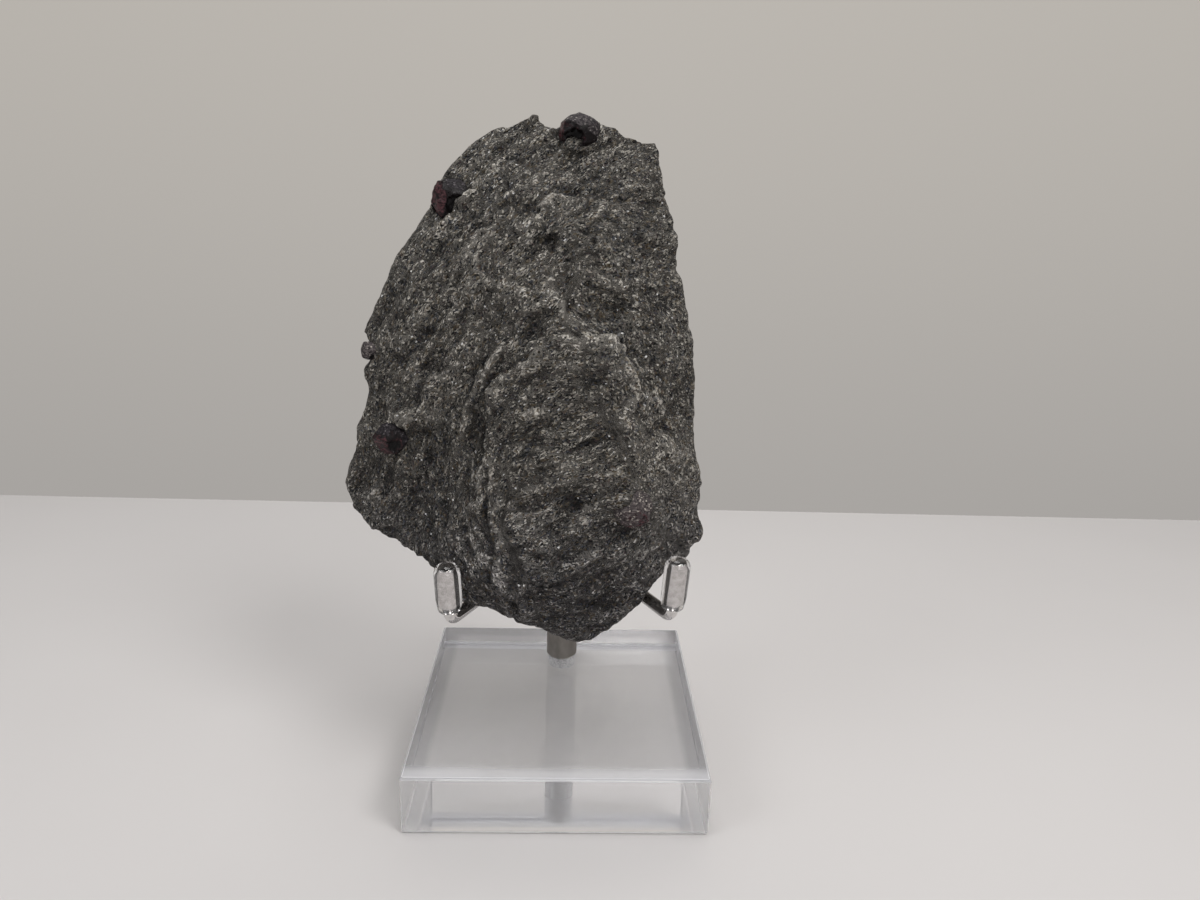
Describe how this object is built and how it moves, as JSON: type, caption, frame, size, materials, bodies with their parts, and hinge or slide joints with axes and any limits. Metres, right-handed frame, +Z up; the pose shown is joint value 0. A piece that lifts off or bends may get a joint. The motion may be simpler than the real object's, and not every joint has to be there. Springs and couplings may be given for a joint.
{
  "type": "garnet in matrix on a display stand",
  "caption": "Upright slab of dark garnet schist with dark red crystals in its face and edges, held by polished prongs with clear sleeves on a post in a clear square block.",
  "frame": {"origin": "centre of the clear block's underside", "axes": "+Z up, -Y towards the viewer, on the side of the stone's broad face and of the prongs, +X to the viewer's right"},
  "size_m": [0.0929, 0.0762, 0.1711],
  "materials": {
    "garnet_schist": "dark speckled schist, rough, with small mica glints",
    "garnet": "dark red-brown garnet with glossy flat faces",
    "clear_acrylic": "clear polished acrylic",
    "satin_metal": "satin",
    "polished_metal": "polished",
    "clear_vinyl": "clear soft vinyl"
  },
  "bodies": {
    "root": {"matrix": "garnet_schist", "garnet_top": "garnet", "garnet_upper_left": "garnet", "garnet_left_edge": "garnet", "garnet_lower_left": "garnet", "garnet_lower_right": "garnet", "base_block": "clear_acrylic", "stem": "satin_metal", "arm_left": "polished_metal", "arm_right": "polished_metal", "back_rest": "polished_metal", "sleeve_left": "clear_vinyl", "sleeve_right": "clear_vinyl", "back_rest_sleeve": "clear_vinyl"}
  },
  "joints": []
}
